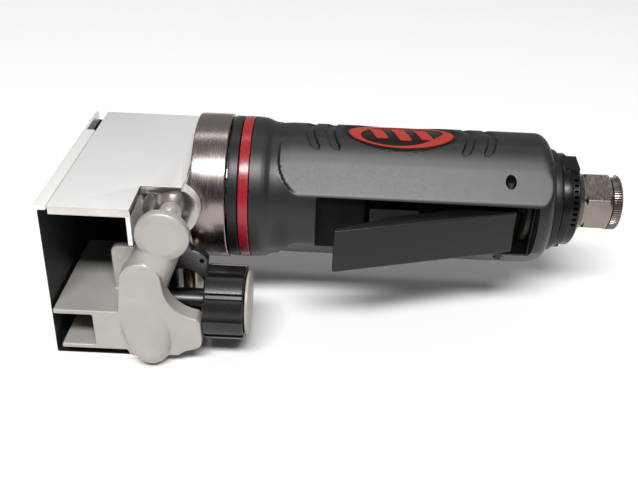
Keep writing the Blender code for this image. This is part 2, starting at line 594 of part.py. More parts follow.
def inlet_end():
    paint(ring("muffler_ring", 124.3, 131.2, 13.9, 8.6, segments=MEDIUM), (0.5, 0.45, 0.35), 0.95)
    paint(ring("rear_seal", 131.7, 134.2, 16.3, 8.6, segments=FINE, chamfer=0.5), (0.02, 0.02, 0.02), 0.45)
    deflector = ring("exhaust_deflector", EXHAUST_LEFT, EXHAUST_RIGHT, EXHAUST_RADIUS, 8.6, chamfer=0.6)
    for i in range(11):
        turn = radians(-10 + 20 * i)
        cut(deflector, blade("vent", turn, 0.9, 11.4, 20.0, EXHAUST_LEFT + 2.6, EXHAUST_RIGHT + 1))
    for i in range(5):
        turn = radians(222 + 24 * i)
        cut(deflector, blade("flat", turn, 2.2, 14.4, 20.0, EXHAUST_LEFT + 1.4, EXHAUST_RIGHT + 1))
    paint(deflector, (0.02, 0.02, 0.02), 0.35)
    bushing = turned("inlet_bushing", [(104.0, 0), (104.0, 7.6), (104.4, 8.0), (131.6, 8.0), (131.6, 8.2),
                                       (EXHAUST_RIGHT + GAP, 8.2), (EXHAUST_RIGHT + GAP, 12.2),
                                       (HEX_LEFT - 0.6, 10.2), (HEX_LEFT, 9.6), (HEX_LEFT, 6.6),
                                       (END_X - 0.2, 6.6), (END_X - 0.2, 0)], segments=MEDIUM)
    corner = HEX_FLATS / sqrt(3)
    hexagon = []
    for k in range(6):
        turn = radians(210 + 60 * k)
        hexagon.append((corner * cos(turn), corner * sin(turn)))
    nut = prism("hexagon", hexagon, "X", HEX_LEFT - 0.5, HEX_RIGHT)
    trim = turned("trim", [(HEX_LEFT - 3, 30), (HEX_LEFT - 3, 12.0), (HEX_LEFT + 0.9, 9.8),
                           (HEX_RIGHT - 0.9, 9.8), (HEX_RIGHT + 3, 6.0), (HEX_RIGHT + 3, 30)],
                  segments=MEDIUM)
    cut(nut, trim)
    join(bushing, nut)
    cut(bushing, rod("port", "X", (0, 0, 0), 5.4, 90, 170, MEDIUM))
    paint(bushing, (0.32, 0.28, 0.24), 0.3, 1.0)
    knurl = []
    for i in range(72):
        radius = END_RADIUS if i % 2 else END_RADIUS - 0.35
        knurl.append((radius * cos(2 * pi * i / 72), radius * sin(2 * pi * i / 72)))
    end = prism("knurled_ring", knurl, "X", HEX_RIGHT + GAP, END_X)
    cut(end, rod("end_bore", "X", (0, 0, 0), 6.6 + GAP, 140, 170, MEDIUM))
    paint(end, (0.3, 0.27, 0.24), 0.35, 1.0)
    screen = rod("inlet_screen", "X", (0, 0, 0), 5.1, 118.0, 118.8, 24)
    for k in range(6):
        spot = (0, 2.9 * cos(pi * k / 3), 2.9 * sin(pi * k / 3))
        cut(screen, rod("mesh_hole", "X", spot, 0.8, 110, 125, 8))
    paint(screen, (0.6, 0.5, 0.3), 0.4, 1.0)


def main():
    clear_scene()
    head_frame()
    side_cover()
    cover_screws()
    grinding_drum()
    guide_casting()
    guide_fittings()
    clamp_bracket()
    knob()
    front_end()
    motor()
    grip_housing()
    badge_plate()
    throttle_lever()
    throttle_valve()
    inlet_end()


main()
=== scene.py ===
"""Looks of the pneumatic die grinder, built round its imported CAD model."""

from math import cos, degrees, pi, radians, sin, sqrt

import bmesh
import bpy
import numpy as np
from mathutils import Matrix, Vector


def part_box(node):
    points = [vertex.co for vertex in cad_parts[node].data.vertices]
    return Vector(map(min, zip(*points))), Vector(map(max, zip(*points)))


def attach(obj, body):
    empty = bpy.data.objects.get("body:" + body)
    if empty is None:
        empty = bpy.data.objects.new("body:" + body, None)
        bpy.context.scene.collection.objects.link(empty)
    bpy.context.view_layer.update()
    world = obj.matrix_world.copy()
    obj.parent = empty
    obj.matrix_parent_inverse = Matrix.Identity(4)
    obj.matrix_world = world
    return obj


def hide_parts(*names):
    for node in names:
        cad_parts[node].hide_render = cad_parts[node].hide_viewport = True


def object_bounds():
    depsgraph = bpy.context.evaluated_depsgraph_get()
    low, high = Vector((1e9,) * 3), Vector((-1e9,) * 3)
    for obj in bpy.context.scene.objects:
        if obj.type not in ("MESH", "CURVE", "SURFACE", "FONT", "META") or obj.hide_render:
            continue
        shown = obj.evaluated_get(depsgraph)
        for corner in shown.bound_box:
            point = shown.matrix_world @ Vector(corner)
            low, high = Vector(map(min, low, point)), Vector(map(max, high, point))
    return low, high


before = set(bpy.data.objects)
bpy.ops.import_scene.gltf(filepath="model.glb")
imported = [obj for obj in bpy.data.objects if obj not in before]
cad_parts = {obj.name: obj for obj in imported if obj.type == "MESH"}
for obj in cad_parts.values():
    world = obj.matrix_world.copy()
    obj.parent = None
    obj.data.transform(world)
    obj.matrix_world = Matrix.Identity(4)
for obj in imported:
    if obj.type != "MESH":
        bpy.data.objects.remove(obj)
cad_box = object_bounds()

MM = 0.001
scene = bpy.context.scene

# ---------------------------------------------------------------- places read from the frame

collar_low, collar_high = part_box("clamp_collar")
COLLAR_LEFT = 21.6
ORIGIN = Vector((collar_low.x - COLLAR_LEFT * MM, (collar_low.y + collar_high.y) / 2,
                 (collar_low.z + collar_high.z) / 2))


def own_box(node):
    """A node's box in the tool's frame: millimetres, X along the motor axis."""
    low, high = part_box(node)
    return (low - ORIGIN) / MM, (high - ORIGIN) / MM


FLOOR_Z = (cad_box[0].z - ORIGIN.z) / MM

# ---------------------------------------------------------------- mesh helpers, in millimetres


def soften(points, radius, steps=4, closed=True):
    """An outline with its corners rounded by arcs, no larger than its sides allow."""
    made = []
    count = len(points)
    for i in range(count):
        here = Vector(points[i])
        if not closed and i in (0, count - 1):
            made.append(tuple(here))
            continue
        before = Vector(points[i - 1]) - here
        after = Vector(points[(i + 1) % count]) - here
        turn = before.angle(after, pi)
        reach = min(radius / max(0.02, abs(np.tan(turn / 2))),
                    before.length * 0.45, after.length * 0.45)
        if turn > radians(172) or reach < 1e-4:
            made.append(tuple(here))
            continue
        start = here + before.normalized() * reach
        end = here + after.normalized() * reach
        for k in range(steps + 1):
            t = k / steps
            made.append(tuple((1 - t) ** 2 * start + 2 * t * (1 - t) * here + t * t * end))
    return made


def arc(cx, cy, radius, start, end, steps):
    """Points of an arc from start to end, in degrees."""
    angles = [radians(start + (end - start) * i / steps) for i in range(steps + 1)]
    return [(cx + radius * cos(a), cy + radius * sin(a)) for a in angles]


def extruded(outline, axis, low, high, bevel=0.0, steps=2):
    """A bmesh of an outline extruded along an axis, its rims rounded by bevel."""
    order = {"X": (2, 0, 1), "Y": (0, 2, 1), "Z": (0, 1, 2)}[axis]
    bm = bmesh.new()
    loops = []
    for level in (low, high):
        loops.append([bm.verts.new([(p[0], p[1], level)[i] for i in order]) for p in outline])
    caps = [bm.faces.new(loops[0]), bm.faces.new(loops[1])]
    count = len(outline)
    for i in range(count):
        j = (i + 1) % count
        bm.faces.new((loops[0][i], loops[0][j], loops[1][j], loops[1][i]))
    bmesh.ops.recalc_face_normals(bm, faces=bm.faces)
    if bevel:
        rims = list({edge for cap in caps for edge in cap.edges})
        bmesh.ops.bevel(bm, geom=rims, offset=bevel, segments=steps, profile=0.5, affect="EDGES")
    return bm


def block(low, high, bevel=0.0, corner=0.0):
    outline = [(low[0], low[1]), (high[0], low[1]), (high[0], high[1]), (low[0], high[1])]
    if corner:
        outline = soften(outline, corner)
    return extruded(outline, "Z", low[2], high[2], bevel)


def lathe(profile, axis="X", centre=(0, 0, 0), segments=128, shape=None):
    """A bmesh of a profile of (along, radius) turned round an axis.

    shape(along, angle, radius) may return another radius for a point.
    """
    bm = bmesh.new()
    centre = Vector(centre)
    solid = profile[0][1] == 0 and profile[-1][1] == 0
    rings = []
    for along, radius in profile:
        ring = []
        for i in range(segments if radius else 1):
            angle = 2 * pi * i / segments
            here = shape(along, angle, radius) if shape and radius else radius
            a, b = here * cos(angle), here * sin(angle)
            own = {"X": (along, a, b), "Y": (b, along, a), "Z": (a, b, along)}[axis]
            ring.append(bm.verts.new(centre + Vector(own)))
        rings.append(ring)
    pairs = list(zip(rings, rings[1:]))
    if not solid:
        pairs.append((rings[-1], rings[0]))
    for first, second in pairs:
        for i in range(segments):
            j = (i + 1) % segments
            corners = []
            for vert in (first[i % len(first)], first[j % len(first)],
                         second[j % len(second)], second[i % len(second)]):
                if vert not in corners:
                    corners.append(vert)
            bm.faces.new(corners)
    bmesh.ops.recalc_face_normals(bm, faces=bm.faces)
    return bm


def rod(axis, centre, radius, low, high, bevel=0.0, segments=64):
    middle = [0 if "XYZ"[i] == axis else centre[i] for i in range(3)]
    profile = [(low, 0), (low, radius), (high, radius), (high, 0)]
    if bevel:
        profile = soften(profile, bevel, 3, closed=False)
    return lathe(profile, axis, middle, segments)


def tube(low, high, outer, inner, bevel=0.3, axis="X", centre=(0, 0, 0), segments=160):
    profile = soften([(low, inner), (low, outer), (high, outer), (high, inner)], bevel, 3)
    return lathe(profile, axis, centre, segments)


def tapered(start, start_radius, end, end_radius, segments=48):
    """A cone between two points."""
    start, end = Vector(start), Vector(end)
    turn = Vector((0, 0, 1)).rotation_difference((end - start).normalized()).to_matrix()
    bm = bmesh.new()
    loops = []
    for point, radius in ((start, start_radius), (end, end_radius)):
        angles = [2 * pi * i / segments for i in range(segments)]
        rim = [Vector((radius * cos(a), radius * sin(a), 0)) for a in angles]
        loops.append([bm.verts.new(point + turn @ offset) for offset in rim])
    bm.faces.new(loops[0])
    bm.faces.new(loops[1])
    for i in range(segments):
        j = (i + 1) % segments
        bm.faces.new((loops[0][i], loops[0][j], loops[1][j], loops[1][i]))
    bmesh.ops.recalc_face_normals(bm, faces=bm.faces)
    return bm


def put(name, bm):
    """A mesh object in the row frame, from a bmesh in millimetres of the tool's frame."""
    for vert in bm.verts:
        vert.co = ORIGIN + vert.co * MM
    mesh = bpy.data.meshes.new(name)
    bm.to_mesh(mesh)
    bm.free()
    obj = bpy.data.objects.new(name, mesh)
    scene.collection.objects.link(obj)
    return obj


def taken(obj):
    """The shape of obj as a bmesh in the tool's frame, with obj removed."""
    bm = bmesh.new()
    bm.from_mesh(obj.data)
    for vert in bm.verts:
        vert.co = (vert.co - ORIGIN) / MM
    bpy.data.objects.remove(obj, do_unlink=True)
    return bm


def apply_modifiers(obj):
    bpy.context.view_layer.update()
    graph = bpy.context.evaluated_depsgraph_get()
    mesh = bpy.data.meshes.new_from_object(obj.evaluated_get(graph))
    obj.modifiers.clear()
    old = obj.data
    obj.data = mesh
    bpy.data.meshes.remove(old)
    mesh.name = obj.name
    return obj


def combine(obj, bm, operation):
    other = put("tool_shape", bm)
    modifier = obj.modifiers.new("combine", "BOOLEAN")
    modifier.operation = operation
    modifier.solver = "EXACT"
    modifier.object = other
    apply_modifiers(obj)
    bpy.data.objects.remove(other, do_unlink=True)


def cut(obj, *shapes):
    for bm in shapes:
        combine(obj, bm, "DIFFERENCE")


def join(obj, *shapes):
    for bm in shapes:
        combine(obj, bm, "UNION")


def round_edges(obj, width, angle=35, steps=2):
    modifier = obj.modifiers.new("round", "BEVEL")
    modifier.width = width * MM
    modifier.segments = steps
    modifier.limit_method = "ANGLE"
    modifier.angle_limit = radians(angle)
    modifier.use_clamp_overlap = True
    apply_modifiers(obj)


def weld(obj, distance=0.02):
    """Merges the near-coincident points that a Boolean leaves, so that the mesh stays closed."""
    bm = bmesh.new()
    bm.from_mesh(obj.data)
    bmesh.ops.remove_doubles(bm, verts=bm.verts, dist=distance * MM)
    bmesh.ops.dissolve_degenerate(bm, edges=bm.edges, dist=distance / 2 * MM)
    bm.to_mesh(obj.data)
    bm.free()


def melt(obj, voxel, smooth):
    """Joins overlapping shapes into one skin with soft fillets, as a casting has."""
    modifier = obj.modifiers.new("melt", "REMESH")
    modifier.mode = "VOXEL"
    modifier.voxel_size = voxel * MM
    modifier.use_smooth_shade = True
    apply_modifiers(obj)
    modifier = obj.modifiers.new("soft", "SMOOTH")
    modifier.factor = 0.5
    modifier.iterations = smooth
    apply_modifiers(obj)


def shade(obj, angle=30):
    obj.data.shade_smooth()
    if angle:
        obj.data.set_sharp_from_angle(angle=radians(angle))


def piece(obj, body, node, finish, angle=30):
    """Makes obj a finished piece: it rides on body and stands for node."""
    obj.data.materials.clear()
    for material in finish if isinstance(finish, (list, tuple)) else [finish]:
        obj.data.materials.append(material)
    weld(obj, 0.001)
    shade(obj, angle)
    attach(obj, body)
    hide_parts(node)
    return obj


# ---------------------------------------------------------------- materials


class Finish:
    """A procedural material under construction, in row-frame coordinates."""

    def __init__(self, name, colour, roughness, metallic=0.0):
        self.material = bpy.data.materials.new(name)
        self.material.use_nodes = True
        self.tree = self.material.node_tree
        self.shader = self.tree.nodes["Principled BSDF"]
        self.shader.inputs["Metallic"].default_value = metallic
        self.set("Base Color", (*colour, 1))
        self.set("Roughness", roughness)
        self.place = self.tree.nodes.new("ShaderNodeTexCoord").outputs["Object"]
        self.height = None

    def set(self, key, value):
        self.shader.inputs[key].default_value = value
        return self

    def link(self, source, target):
        self.tree.links.new(source, target)

    def stretched(self, scale):
        node = self.tree.nodes.new("ShaderNodeMapping")
        node.inputs["Scale"].default_value = scale
        self.link(self.place, node.inputs["Vector"])
        return node.outputs["Vector"]

    def noise(self, size, detail=3.0, rough=0.55, stretch=(1, 1, 1)):
        """Noise whose grain is about size millimetres."""
        node = self.tree.nodes.new("ShaderNodeTexNoise")
        node.inputs["Scale"].default_value = 1000 / size
        node.inputs["Detail"].default_value = detail
        node.inputs["Roughness"].default_value = rough
        self.link(self.stretched(stretch), node.inputs["Vector"])
        return node.outputs["Fac"]

    def ramp(self, source, low, high, start=0.3, end=0.7):
        node = self.tree.nodes.new("ShaderNodeMapRange")
        node.interpolation_type = "SMOOTHSTEP"
        node.inputs["From Min"].default_value = start
        node.inputs["From Max"].default_value = end
        node.inputs["To Min"].default_value = low
        node.inputs["To Max"].default_value = high
        self.link(source, node.inputs["Value"])
        return node.outputs["Result"]

    def tint(self, source, low, high):
        """Colours the base between two colours by a factor from 0 to 1."""
        node = self.tree.nodes.new("ShaderNodeMix")
        node.data_type = "RGBA"
        node.inputs["A"].default_value = (*low, 1)
        node.inputs["B"].default_value = (*high, 1)
        self.link(source, node.inputs["Factor"])
        self.link(node.outputs["Result"], self.shader.inputs["Base Color"])
        return self

    def rough(self, source, low, high, start=0.3, end=0.7):
        self.link(self.ramp(source, low, high, start, end), self.shader.inputs["Roughness"])
        return self

    def bump(self, source, strength, depth):
        """Adds relief depth millimetres deep."""
        node = self.tree.nodes.new("ShaderNodeBump")
        node.inputs["Strength"].default_value = strength
        node.inputs["Distance"].default_value = depth * MM
        self.link(source, node.inputs["Height"])
        if self.height:
            self.link(self.height, node.inputs["Normal"])
        self.height = node.outputs["Normal"]
        self.link(self.height, self.shader.inputs["Normal"])
        return self


def metal(name, colour, roughness, grain, stretch, relief, spread, shade_by, metallic=1.0):
    """A metal. Grain and relief are in millimetres; its darkest places are colour * shade_by."""
    finish = Finish(name, colour, roughness, metallic)
    fine = finish.noise(grain, 4, 0.6, stretch)
    broad = finish.noise(9, 2, 0.5)
    finish.rough(fine, roughness - spread, roughness + spread)
    finish.tint(finish.ramp(broad, 0, 1), tuple(c * shade_by for c in colour), colour)
    return finish.bump(fine, 0.4, relief)


def plastic(name, colour, roughness, grain, relief, lighter, gloss):
    """A plastic. Grain and relief are in millimetres; its lightest places are colour * lighter."""
    finish = Finish(name, colour, roughness)
    finish.set("Specular IOR Level", gloss)
    fine = finish.noise(grain, 3, 0.6)
    broad = finish.noise(14, 3, 0.5)
    finish.tint(finish.ramp(broad, 0, 1), colour, tuple(c * lighter for c in colour))
    finish.rough(fine, roughness - 0.06, roughness + 0.06)
    return finish.bump(fine, 0.5, relief)


EVEN = (1, 1, 1)
ALONG_Y = (1, 0.15, 1)
AROUND_X = (1, 0.05, 0.05)

PLATE = metal("machined_plate", (0.90, 0.88, 0.86), 0.38, 0.35, ALONG_Y, 0.002, 0.04, 0.985, 0.6)
EDGE = metal("mill_edge", (0.74, 0.70, 0.66), 0.45, 0.9, EVEN, 0.05, 0.12, 0.86, 0.8)
SHEET = metal("sheet_cover", (0.92, 0.90, 0.88), 0.38, 0.4, (1, 0.2, 1), 0.002, 0.04, 0.985, 0.55)
# Near-black colour for the inner faces of the head's box and cover: painted shade of the box's
# interior.
PAINTED_SHADE_INSIDE = metal("painted_shade_inside", (0.035, 0.042, 0.042), 0.4, 0.8, EVEN, 0.01, 0.1, 0.8, 0.7)
CAST = metal("die_cast", (0.42, 0.395, 0.37), 0.46, 0.5, EVEN, 0.012, 0.06, 0.93, 0.35)
POLISHED = metal("polished_steel", (0.46, 0.435, 0.42), 0.2, 0.3, EVEN, 0.002, 0.05, 0.93)
ROD = metal("guide_rod_steel", (0.62, 0.59, 0.57), 0.3, 0.3, EVEN, 0.002, 0.05, 0.93, 0.6)
COLLAR = metal("burnished_collar", (0.33, 0.288, 0.275), 0.25, 0.25, AROUND_X, 0.002, 0.04, 0.9)
STEEL = metal("ground_steel", (0.55, 0.55, 0.55), 0.3, 0.3, (1, 0.1, 0.1), 0.004, 0.07, 0.9)
DARK_STEEL = metal("dark_steel", (0.14, 0.135, 0.14), 0.34, 0.6, EVEN, 0.012, 0.1, 0.8)
HEXAGON = metal("burnished_inlet", (0.28, 0.245, 0.22), 0.33, 0.5, (1, 0.3, 0.3), 0.006, 0.08, 0.75)
# Near-black colour for the throttle button, which sits in the slot: painted shade of the slot.
BUTTON = metal("button_painted_shade", (0.03, 0.031, 0.031), 0.5, 0.25, EVEN, 0.02, 0.08, 0.85, 0.6)
BRASS = metal("brass", (0.62, 0.48, 0.28), 0.3, 0.4, EVEN, 0.006, 0.08, 0.85)
# Blackened steel for the screws and the stud; on the lever pin, sunk in its hole, the same
# near-black is painted shade of the hole.
BLACK_STEEL_AND_SHADE = metal("blackened_steel_and_pin_shade", (0.05, 0.048, 0.05), 0.33, 0.5, EVEN, 0.008, 0.06, 0.85)
GRIP = plastic("grip_composite", (0.0062, 0.0056, 0.0058), 0.42, 0.2, 0.014, 1.25, 0.52)
# Blacker and duller plastic for the slot's inner faces: painted shade of the slot.
GRIP_SLOT_SHADE = plastic("grip_slot_painted_shade", (0.003, 0.003, 0.003), 0.6, 0.3, 0.01, 1.2, 0.1)
LEVER = plastic("lever_plastic", (0.004, 0.0036, 0.0038), 0.36, 0.3, 0.005, 1.2, 0.36)
SPACER = plastic("spacer_plastic", (0.010, 0.0092, 0.0095), 0.36, 0.3, 0.006, 1.2, 0.35)
RED = plastic("red_ring", (0.23, 0.011, 0.017), 0.24, 0.6, 0.002, 1.12, 0.5)
BADGE_RED = plastic("badge_red", (0.30, 0.026, 0.018), 0.36, 0.5, 0.004, 1.12, 0.25)
BLACK = plastic("knob_black", (0.006, 0.006, 0.006), 0.32, 0.3, 0.006, 1.3, 0.45)
GLOSS = plastic("gloss_black", (0.004, 0.004, 0.004), 0.28, 0.6, 0.004, 1.3, 0.25)
PALE = plastic("pale_cap", (0.32, 0.293, 0.262), 0.4, 0.5, 0.006, 1.08, 0.5)
RUBBER = plastic("rubber", (0.006, 0.006, 0.006), 0.4, 0.4, 0.01, 1.4, 0.25)
# Dark abrasive for the drum; on the muffler ring, seen through the slot, the same dark colour is
# painted shade of the slot.
GRIT_AND_SHADE = plastic("abrasive_grit_and_muffler_shade", (0.03, 0.026, 0.022), 0.85, 0.45, 0.25, 2.4, 0.4)
LAMINATE = plastic("vane_laminate", (0.16, 0.09, 0.045), 0.55, 0.8, 0.02, 1.4, 0.5)

# ---------------------------------------------------------------- head

# Axes in millimetres of the tool's frame: X along the motor to the inlet, Y away from the
# lever side, Z up.
HEAD_FRONT, HEAD_BACK, HEAD_TOP = -41.3, 23.2, 13.7
PLATE_LEFT, PLATE_RIGHT, PLATE_THICK = -13.4, 21.0, 2.6
WALL_LEFT, WALL_RIGHT = 7.9, 9.1
NOTCH_Y = -27.7
COVER_TOP_X, COVER_BOTTOM_X, SHEET_THICK = -17.4, -18.8, 1.3
COVER_FLOOR = -37.6
ROD_X, ROD_Z, ROD_RADIUS, BOSS_RADIUS = 17.2, 5.5, 3.3, 8.2
HUB_RADIUS, HUB_END, HUB_BORE = 17.0, 21.3, 9.6
SCREW_PLACES, SCREW_Z, SCREW_HEAD_RADIUS = (-6.5, -1.5), 8.0, 2.1


def sort_faces(obj, chooser):
    """Gives each face the material index that chooser(centre, normal) returns.

    The centre is in the tool's frame.
    """
    for face in obj.data.polygons:
        centre = (face.center - ORIGIN) / MM
        face.material_index = chooser(centre, face.normal)


def make_head_frame():
    under = HEAD_TOP - PLATE_THICK
    back = HEAD_BACK - SHEET_THICK - 0.3
    outline = [(PLATE_LEFT, HEAD_FRONT), (WALL_RIGHT, HEAD_FRONT), (WALL_RIGHT, NOTCH_Y),
               (PLATE_RIGHT, NOTCH_Y), (PLATE_RIGHT, HEAD_BACK), (PLATE_LEFT, HEAD_BACK)]
    head = put("head_top_frame", extruded(soften(outline, 0.35), "Z", under, HEAD_TOP, 0.22))
    wall_right = WALL_RIGHT - 0.02
    join(head, block((WALL_LEFT, HEAD_FRONT + 0.05, 2.1), (wall_right, back, HEAD_TOP - 0.6), 0.1))
    join(head, block((WALL_LEFT, -2.0, COVER_FLOOR + 0.3), (wall_right, back - 0.05, 4.0)))
    hub = put("hub", rod("X", (0, 0, 0), HUB_RADIUS, WALL_LEFT + 0.4, HUB_END, 0.4, 96))
    cut(hub, block((0, -30, HEAD_TOP - 1.2), (30, 30, 30)))
    join(head, taken(hub))
    boss = put("boss", rod("Y", (ROD_X, 0, ROD_Z), BOSS_RADIUS, NOTCH_Y, -5.0, 0.45, 96))
    cut(boss, block((HUB_END - 0.05, -23.4, -20), (40, 10, 30)))
    join(head, taken(boss))
    join(head, block((-9.0, 15.4, 4.5), (1.0, back, HEAD_TOP - 0.6), 0.2))
    cut(head, rod("X", (0, 0, 0), HUB_BORE, 0, 30, 0, 64))
    cut(head, rod("Y", (ROD_X, 0, ROD_Z), ROD_RADIUS + 0.2, -40, -12.0, 0, 64))
    cut(head, block((WALL_RIGHT, -60, under - 3), (30, NOTCH_Y - 0.02, 30)))
    for x in SCREW_PLACES:
        cut(head, rod("Y", (x, 0, SCREW_Z), 1.2, 16.6, 30, 0, 24))
    weld(head)

    # Index 2 paints the underside of the top plate and the lower wall near black: painted shade
    # inside the box.
    def surface(centre, normal):
        if normal.y < -0.8 and centre.z > under - 1 and centre.y < HEAD_FRONT + 0.3:
            return 1
        if centre.x < WALL_RIGHT - 0.1 and centre.z < under + 0.1 and centre.y > HEAD_FRONT + 0.3:
            return 2
        if centre.x < WALL_RIGHT + 0.3 and centre.z < 1.5:
            return 2
        if centre.y < NOTCH_Y + 0.3 and centre.z < HEAD_TOP - 0.1 and centre.x > WALL_RIGHT - 0.2:
            return 3
        return 0

    finishes = [PLATE.material, EDGE.material, PAINTED_SHADE_INSIDE.material, POLISHED.material]
    made = piece(head, "tool", "head_frame", finishes)
    sort_faces(made, surface)


def cover_x(z):
    share = (HEAD_TOP - z) / (HEAD_TOP - FLOOR_Z)
    return COVER_TOP_X + share * (COVER_BOTTOM_X - COVER_TOP_X)


def make_cover():
    lip_bottom = HEAD_TOP - SHEET_THICK
    lip_right = PLATE_LEFT - 0.3
    inner_top = cover_x(HEAD_TOP) + SHEET_THICK
    inner_bottom = cover_x(COVER_FLOOR) + SHEET_THICK
    section = [(cover_x(HEAD_TOP), HEAD_TOP), (lip_right, HEAD_TOP), (lip_right, lip_bottom),
               (inner_top, lip_bottom), (inner_bottom, COVER_FLOOR), (WALL_RIGHT, COVER_FLOOR),
               (WALL_RIGHT, FLOOR_Z), (cover_x(FLOOR_Z), FLOOR_Z)]
    cover = put("head_cover", extruded(soften(section, 0.45, 4), "Y", HEAD_FRONT, HEAD_BACK, 0.18))
    back = [(cover_x(10.8) + 0.25, 10.8), (WALL_RIGHT, 10.8), (WALL_RIGHT, FLOOR_Z + 0.6),
            (cover_x(FLOOR_Z) + 0.6, FLOOR_Z + 0.6)]
    join(cover, extruded(soften(back, 0.4), "Y", HEAD_BACK - SHEET_THICK, HEAD_BACK - 0.02, 0.15))
    cut(cover, block((cover_x(HEAD_TOP) + 1.0, 8.3, HEAD_TOP - 3),
                     (lip_right + 1, HEAD_BACK + 5, HEAD_TOP + 3)))
    for x in SCREW_PLACES:
        cut(cover, rod("Y", (x, 0, SCREW_Z), 1.3, 15, 30, 0, 24))

    # Index 1 paints the cover's inner faces near black: painted shade inside the box.
    def surface(centre, normal):
        in_width = cover_x(centre.z) + 0.5 < centre.x
        in_height = FLOOR_Z + 0.5 < centre.z < lip_bottom + 0.05
        in_depth = HEAD_FRONT + 0.25 < centre.y < HEAD_BACK - 0.3
        return 1 if in_width and in_height and in_depth else 0

    made = piece(cover, "tool", "side_cover", [SHEET.material, PAINTED_SHADE_INSIDE.material])
    sort_faces(made, surface)
    for i, x in enumerate(SCREW_PLACES):
        node = f"cover_screw_{i + 1}"
        head_y = HEAD_BACK + 0.3
        profile = [(17.3, 0), (17.3, 0.9), (head_y, 0.9), (head_y, SCREW_HEAD_RADIUS),
                   (head_y + 0.55, SCREW_HEAD_RADIUS), (head_y + 0.95, 1.5), (head_y + 0.95, 0)]
        screw = put(f"cover_screw_head_{i + 1}",
                    lathe(soften(profile, 0.15, 3, False), "Y", (x, 0, SCREW_Z), 48))
        cut(screw, extruded(arc(x, SCREW_Z, 0.85, 0, 300, 5), "Y", head_y + 0.25, head_y + 3))
        piece(screw, "tool", node, BLACK_STEEL_AND_SHADE.material)


# ---------------------------------------------------------------- guide

GUIDE_FRONT, SLAB_BACK, GUIDE_BACK = -42.8, -37.4, -4.4
UPPER_TOP, LOWER_TOP = -20.4, -33.1
UPPER_THICK, LOWER_THICK = 1.5, 1.4
GUIDE_LEFT = -16.2
FOOT_FRONT = -49.0
FOOT_X, FOOT_Z, FOOT_HALF_WIDTH, FOOT_HALF_HEIGHT, FOOT_LEAN = 10.6, -26.2, 7.4, 13.0, 0.12
ARCH_X, ARCH_Z, ARCH_RADIUS = 10.2, -9.4, 6.0
KNOB_Y, KNOB_Z = -32.8, -22.1
STUD_RADIUS = 3.7


def slab_outline():
    arch = arc(ARCH_X, ARCH_Z, ARCH_RADIUS, 180, 0, 28)
    flank = arc(27.4, -11.2, 10.9, 184, 262, 22)
    tab = arc(25.2, -24.0, 1.8, 50, 0, 6) + arc(24.2, -30.6, 2.8, 0, -80, 10)
    rest = [(21.6, -34.4), (19.6, -36.0), (5.0, -36.4), (3.2, -30.0), (2.6, -22.0)]
    return arch + flank + tab + rest


def foot_shape():
    """The oval swelling on the front of the guide, standing further out towards its bottom."""
    count, rings = 64, 14

    def oval(shrink):
        spots = []
        for i in range(count):
            angle = 2 * pi * i / count
            z = FOOT_Z + FOOT_HALF_HEIGHT * shrink * sin(angle)
            x = FOOT_X + FOOT_HALF_WIDTH * shrink * cos(angle) + FOOT_LEAN * (FOOT_Z - z)
            spots.append((x, z))
        return spots

    bm = bmesh.new()
    edge = GUIDE_FRONT + 0.35
    loops = [[bm.verts.new((x, y, z)) for x, z in oval(1)] for y in (GUIDE_FRONT + 2.5, edge)]
    for k in range(1, rings + 1):
        shrink = cos(pi / 2 * k / (rings + 1))
        dome = (1 - shrink ** 2.2) ** 0.75
        loop = []
        for x, z in oval(shrink):
            share = min(max((-13.2 - z) / 20.0, 0), 1)
            depth = (GUIDE_FRONT - FOOT_FRONT) * share ** 1.3 + 0.1
            loop.append(bm.verts.new((x, edge - 0.35 * dome - depth * dome, z)))
        loops.append(loop)
    bm.faces.new(loops[0])
    bm.faces.new(loops[-1])
    for first, second in zip(loops, loops[1:]):
        for i in range(count):
            j = (i + 1) % count
            bm.faces.new((first[i], first[j], second[j], second[i]))
    bmesh.ops.recalc_face_normals(bm, faces=bm.faces)
    return bm


